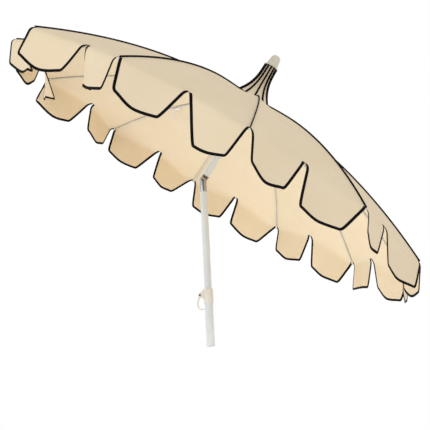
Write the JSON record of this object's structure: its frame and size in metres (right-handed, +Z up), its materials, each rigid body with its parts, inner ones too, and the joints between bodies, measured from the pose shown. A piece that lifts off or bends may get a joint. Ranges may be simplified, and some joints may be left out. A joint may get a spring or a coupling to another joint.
{
  "type": "garden parasol",
  "caption": "Tilting garden parasol with a ribbed canvas canopy, black-bound scalloped edge, gathered neck, cap finial, white telescoping pole with height lock lever and tilt joint.",
  "frame": {"origin": "centre of the pole's flat bottom face", "axes": "+Z up along the pole, the canopy leans towards +X, the tilt hinge lies along +Y"},
  "size_m": [1.5081, 1.74, 1.2043],
  "materials": {
    "canvas": "woven polyester canvas, matt",
    "white_steel": "white powder coat, semi-gloss",
    "chrome_steel": "bright chrome plate",
    "dark_steel": "black oxide steel",
    "zinc_wire": "zinc plated steel wire",
    "rib_steel": "thin white powder coat",
    "white_plastic": "moulded white polypropylene",
    "cap_plastic": "moulded milky polypropylene, slightly translucent",
    "black_rubber": "moulded rubber"
  },
  "bodies": {
    "lower_pole": {"lower_tube": "white_steel", "foot_plug": "black_rubber", "height_collar": "white_plastic", "lock_pin": "dark_steel", "lock_spring": "zinc_wire"},
    "lock_lever": {"lock_lever": "white_plastic", "brake_pad": "black_rubber"},
    "inner_pole": {"inner_pole": "white_steel", "inner_pole_guide": "white_plastic", "tilt_fork": "chrome_steel", "tilt_bolt": "dark_steel", "tilt_spring": "zinc_wire"},
    "tilt_plunger": {"tilt_plunger": "zinc_wire"},
    "upper_pole": {"tilt_tongue": "chrome_steel", "upper_pole": "white_steel", "crown": "white_plastic", "crown_ring": "zinc_wire", "neck_sleeve": "canvas", "neck_disc": "white_plastic", "pole_top_plug": "white_plastic", "finial_screw": "zinc_wire", "finial_cap": "cap_plastic"},
    "runner": {"runner": "white_plastic", "runner_ring": "zinc_wire"},
    "rib_01": {"rib_01": "rib_steel", "canopy_panel_01": "canvas"},
    "rib_02": {"rib_02": "rib_steel", "canopy_panel_02": "canvas"},
    "rib_03": {"rib_03": "rib_steel", "canopy_panel_03": "canvas"},
    "rib_04": {"rib_04": "rib_steel", "canopy_panel_04": "canvas"},
    "rib_05": {"rib_05": "rib_steel", "canopy_panel_05": "canvas"},
    "rib_06": {"rib_06": "rib_steel", "canopy_panel_06": "canvas"},
    "rib_07": {"rib_07": "rib_steel", "canopy_panel_07": "canvas"},
    "rib_08": {"rib_08": "rib_steel", "canopy_panel_08": "canvas"},
    "rib_09": {"rib_09": "rib_steel", "canopy_panel_09": "canvas"},
    "rib_10": {"rib_10": "rib_steel", "canopy_panel_10": "canvas"},
    "rib_11": {"rib_11": "rib_steel", "canopy_panel_11": "canvas"},
    "rib_12": {"rib_12": "rib_steel", "canopy_panel_12": "canvas"},
    "stretcher_01": {"stretcher_01": "rib_steel"},
    "stretcher_02": {"stretcher_02": "rib_steel"},
    "stretcher_03": {"stretcher_03": "rib_steel"},
    "stretcher_04": {"stretcher_04": "rib_steel"},
    "stretcher_05": {"stretcher_05": "rib_steel"},
    "stretcher_06": {"stretcher_06": "rib_steel"},
    "stretcher_07": {"stretcher_07": "rib_steel"},
    "stretcher_08": {"stretcher_08": "rib_steel"},
    "stretcher_09": {"stretcher_09": "rib_steel"},
    "stretcher_10": {"stretcher_10": "rib_steel"},
    "stretcher_11": {"stretcher_11": "rib_steel"},
    "stretcher_12": {"stretcher_12": "rib_steel"}
  },
  "joints": [
    {"name": "lever_pull", "type": "hinge", "parent": "lower_pole", "child": "lock_lever", "pos_m": [-0.032, 0, 0.195], "axis": [0, 1, 0], "range_deg": [0, 20], "stiffness_Nm_per_rad": 0.2, "springref_deg": -5.73},
    {"name": "pole_height", "type": "slide", "parent": "lower_pole", "child": "inner_pole", "axis": [0, 0, 1], "range_m": [-0.09, 0.03]},
    {"name": "plunger_press", "type": "slide", "parent": "inner_pole", "child": "tilt_plunger", "axis": [0, 0, 1], "range_m": [-0.003, 0], "stiffness_N_per_m": 400, "springref_m": 0.004, "deforming": ["tilt_spring"]},
    {"name": "tilt", "type": "hinge", "parent": "inner_pole", "child": "upper_pole", "pos_m": [0, 0, 0.645], "axis": [0, 1, 0], "range_deg": [-33.5, 0]},
    {"name": "runner_slide", "type": "slide", "parent": "upper_pole", "child": "runner", "axis": [0.5519, 0, 0.8339], "range_m": [-0.21693, 0]},
    {"name": "fold", "type": "hinge", "parent": "upper_pole", "child": "rib_01", "pos_m": [0.23201, 0.00725, 0.94653], "axis": [-0.2158, 0.9659, 0.1429], "range_deg": [0, 64], "deforming": ["canopy_panel_01"]},
    {"name": "rib_fold_02", "type": "hinge", "parent": "upper_pole", "child": "rib_02", "pos_m": [0.22597, 0.0198, 0.95053], "axis": [-0.5896, 0.7071, 0.3903], "range_deg": [0, 64.03], "deforming": ["canopy_panel_02"]},
    {"name": "rib_fold_03", "type": "hinge", "parent": "upper_pole", "child": "rib_03", "pos_m": [0.2155, 0.02705, 0.95746], "axis": [-0.8055, 0.2588, 0.5331], "range_deg": [0, 64.03], "deforming": ["canopy_panel_03"]},
    {"name": "rib_fold_04", "type": "hinge", "parent": "upper_pole", "child": "rib_04", "pos_m": [0.20342, 0.02705, 0.96546], "axis": [-0.8055, -0.2588, 0.5331], "range_deg": [0, 64.03], "deforming": ["canopy_panel_04"]},
    {"name": "rib_fold_05", "type": "hinge", "parent": "upper_pole", "child": "rib_05", "pos_m": [0.19295, 0.0198, 0.97239], "axis": [-0.5896, -0.7071, 0.3903], "range_deg": [0, 64.03], "deforming": ["canopy_panel_05"]},
    {"name": "rib_fold_06", "type": "hinge", "parent": "upper_pole", "child": "rib_06", "pos_m": [0.18691, 0.00725, 0.97639], "axis": [-0.2158, -0.9659, 0.1429], "range_deg": [0, 64.03], "deforming": ["canopy_panel_06"]},
    {"name": "rib_fold_07", "type": "hinge", "parent": "upper_pole", "child": "rib_07", "pos_m": [0.18691, -0.00725, 0.97639], "axis": [0.2158, -0.9659, -0.1429], "range_deg": [0, 64.03], "deforming": ["canopy_panel_07"]},
    {"name": "rib_fold_08", "type": "hinge", "parent": "upper_pole", "child": "rib_08", "pos_m": [0.19295, -0.0198, 0.97239], "axis": [0.5896, -0.7071, -0.3903], "range_deg": [0, 64.03], "deforming": ["canopy_panel_08"]},
    {"name": "rib_fold_09", "type": "hinge", "parent": "upper_pole", "child": "rib_09", "pos_m": [0.20342, -0.02705, 0.96546], "axis": [0.8055, -0.2588, -0.5331], "range_deg": [0, 64.03], "deforming": ["canopy_panel_09"]},
    {"name": "rib_fold_10", "type": "hinge", "parent": "upper_pole", "child": "rib_10", "pos_m": [0.2155, -0.02705, 0.95746], "axis": [0.8055, 0.2588, -0.5331], "range_deg": [0, 64.03], "deforming": ["canopy_panel_10"]},
    {"name": "rib_fold_11", "type": "hinge", "parent": "upper_pole", "child": "rib_11", "pos_m": [0.22597, -0.0198, 0.95053], "axis": [0.5896, 0.7071, -0.3903], "range_deg": [0, 64.03], "deforming": ["canopy_panel_11"]},
    {"name": "rib_fold_12", "type": "hinge", "parent": "upper_pole", "child": "rib_12", "pos_m": [0.23201, -0.00725, 0.94653], "axis": [0.2158, 0.9659, -0.1429], "range_deg": [0, 64.03], "deforming": ["canopy_panel_12"]},
    {"name": "stretcher_turn_01", "type": "hinge", "parent": "runner", "child": "stretcher_01", "pos_m": [0.18132, 0.00621, 0.87695], "axis": [-0.2158, 0.9659, 0.1429], "range_deg": [-58.6, 0]},
    {"name": "stretcher_turn_02", "type": "hinge", "parent": "runner", "child": "stretcher_02", "pos_m": [0.17614, 0.01697, 0.88038], "axis": [-0.5896, 0.7071, 0.3903], "range_deg": [-58.6, 0]},
    {"name": "stretcher_turn_03", "type": "hinge", "parent": "runner", "child": "stretcher_03", "pos_m": [0.16717, 0.02318, 0.88632], "axis": [-0.8055, 0.2588, 0.5331], "range_deg": [-58.6, 0]},
    {"name": "stretcher_turn_04", "type": "hinge", "parent": "runner", "child": "stretcher_04", "pos_m": [0.15681, 0.02318, 0.89317], "axis": [-0.8055, -0.2588, 0.5331], "range_deg": [-58.6, 0]},
    {"name": "stretcher_turn_05", "type": "hinge", "parent": "runner", "child": "stretcher_05", "pos_m": [0.14784, 0.01697, 0.89911], "axis": [-0.5896, -0.7071, 0.3903], "range_deg": [-58.6, 0]},
    {"name": "stretcher_turn_06", "type": "hinge", "parent": "runner", "child": "stretcher_06", "pos_m": [0.14266, 0.00621, 0.90254], "axis": [-0.2158, -0.9659, 0.1429], "range_deg": [-58.6, 0]},
    {"name": "stretcher_turn_07", "type": "hinge", "parent": "runner", "child": "stretcher_07", "pos_m": [0.14266, -0.00621, 0.90254], "axis": [0.2158, -0.9659, -0.1429], "range_deg": [-58.6, 0]},
    {"name": "stretcher_turn_08", "type": "hinge", "parent": "runner", "child": "stretcher_08", "pos_m": [0.14784, -0.01697, 0.89911], "axis": [0.5896, -0.7071, -0.3903], "range_deg": [-58.6, 0]},
    {"name": "stretcher_turn_09", "type": "hinge", "parent": "runner", "child": "stretcher_09", "pos_m": [0.15681, -0.02318, 0.89317], "axis": [0.8055, -0.2588, -0.5331], "range_deg": [-58.6, 0]},
    {"name": "stretcher_turn_10", "type": "hinge", "parent": "runner", "child": "stretcher_10", "pos_m": [0.16717, -0.02318, 0.88632], "axis": [0.8055, 0.2588, -0.5331], "range_deg": [-58.6, 0]},
    {"name": "stretcher_turn_11", "type": "hinge", "parent": "runner", "child": "stretcher_11", "pos_m": [0.17614, -0.01697, 0.88038], "axis": [0.5896, 0.7071, -0.3903], "range_deg": [-58.6, 0]},
    {"name": "stretcher_turn_12", "type": "hinge", "parent": "runner", "child": "stretcher_12", "pos_m": [0.18132, -0.00621, 0.87695], "axis": [0.2158, 0.9659, -0.1429], "range_deg": [-58.6, 0]}
  ],
  "couplings": [
    {"joint": "runner_slide", "follows": "fold", "m_per_rad": -0.19411},
    {"joint": "rib_fold_02", "follows": "fold", "ratio": 1},
    {"joint": "rib_fold_03", "follows": "fold", "ratio": 1},
    {"joint": "rib_fold_04", "follows": "fold", "ratio": 1},
    {"joint": "rib_fold_05", "follows": "fold", "ratio": 1},
    {"joint": "rib_fold_06", "follows": "fold", "ratio": 1},
    {"joint": "rib_fold_07", "follows": "fold", "ratio": 1},
    {"joint": "rib_fold_08", "follows": "fold", "ratio": 1},
    {"joint": "rib_fold_09", "follows": "fold", "ratio": 1},
    {"joint": "rib_fold_10", "follows": "fold", "ratio": 1},
    {"joint": "rib_fold_11", "follows": "fold", "ratio": 1},
    {"joint": "rib_fold_12", "follows": "fold", "ratio": 1},
    {"joint": "stretcher_turn_01", "follows": "fold", "ratio": -0.91511},
    {"joint": "stretcher_turn_02", "follows": "fold", "ratio": -0.91511},
    {"joint": "stretcher_turn_03", "follows": "fold", "ratio": -0.91511},
    {"joint": "stretcher_turn_04", "follows": "fold", "ratio": -0.91511},
    {"joint": "stretcher_turn_05", "follows": "fold", "ratio": -0.91511},
    {"joint": "stretcher_turn_06", "follows": "fold", "ratio": -0.91511},
    {"joint": "stretcher_turn_07", "follows": "fold", "ratio": -0.91511},
    {"joint": "stretcher_turn_08", "follows": "fold", "ratio": -0.91511},
    {"joint": "stretcher_turn_09", "follows": "fold", "ratio": -0.91511},
    {"joint": "stretcher_turn_10", "follows": "fold", "ratio": -0.91511},
    {"joint": "stretcher_turn_11", "follows": "fold", "ratio": -0.91511},
    {"joint": "stretcher_turn_12", "follows": "fold", "ratio": -0.91511}
  ]
}
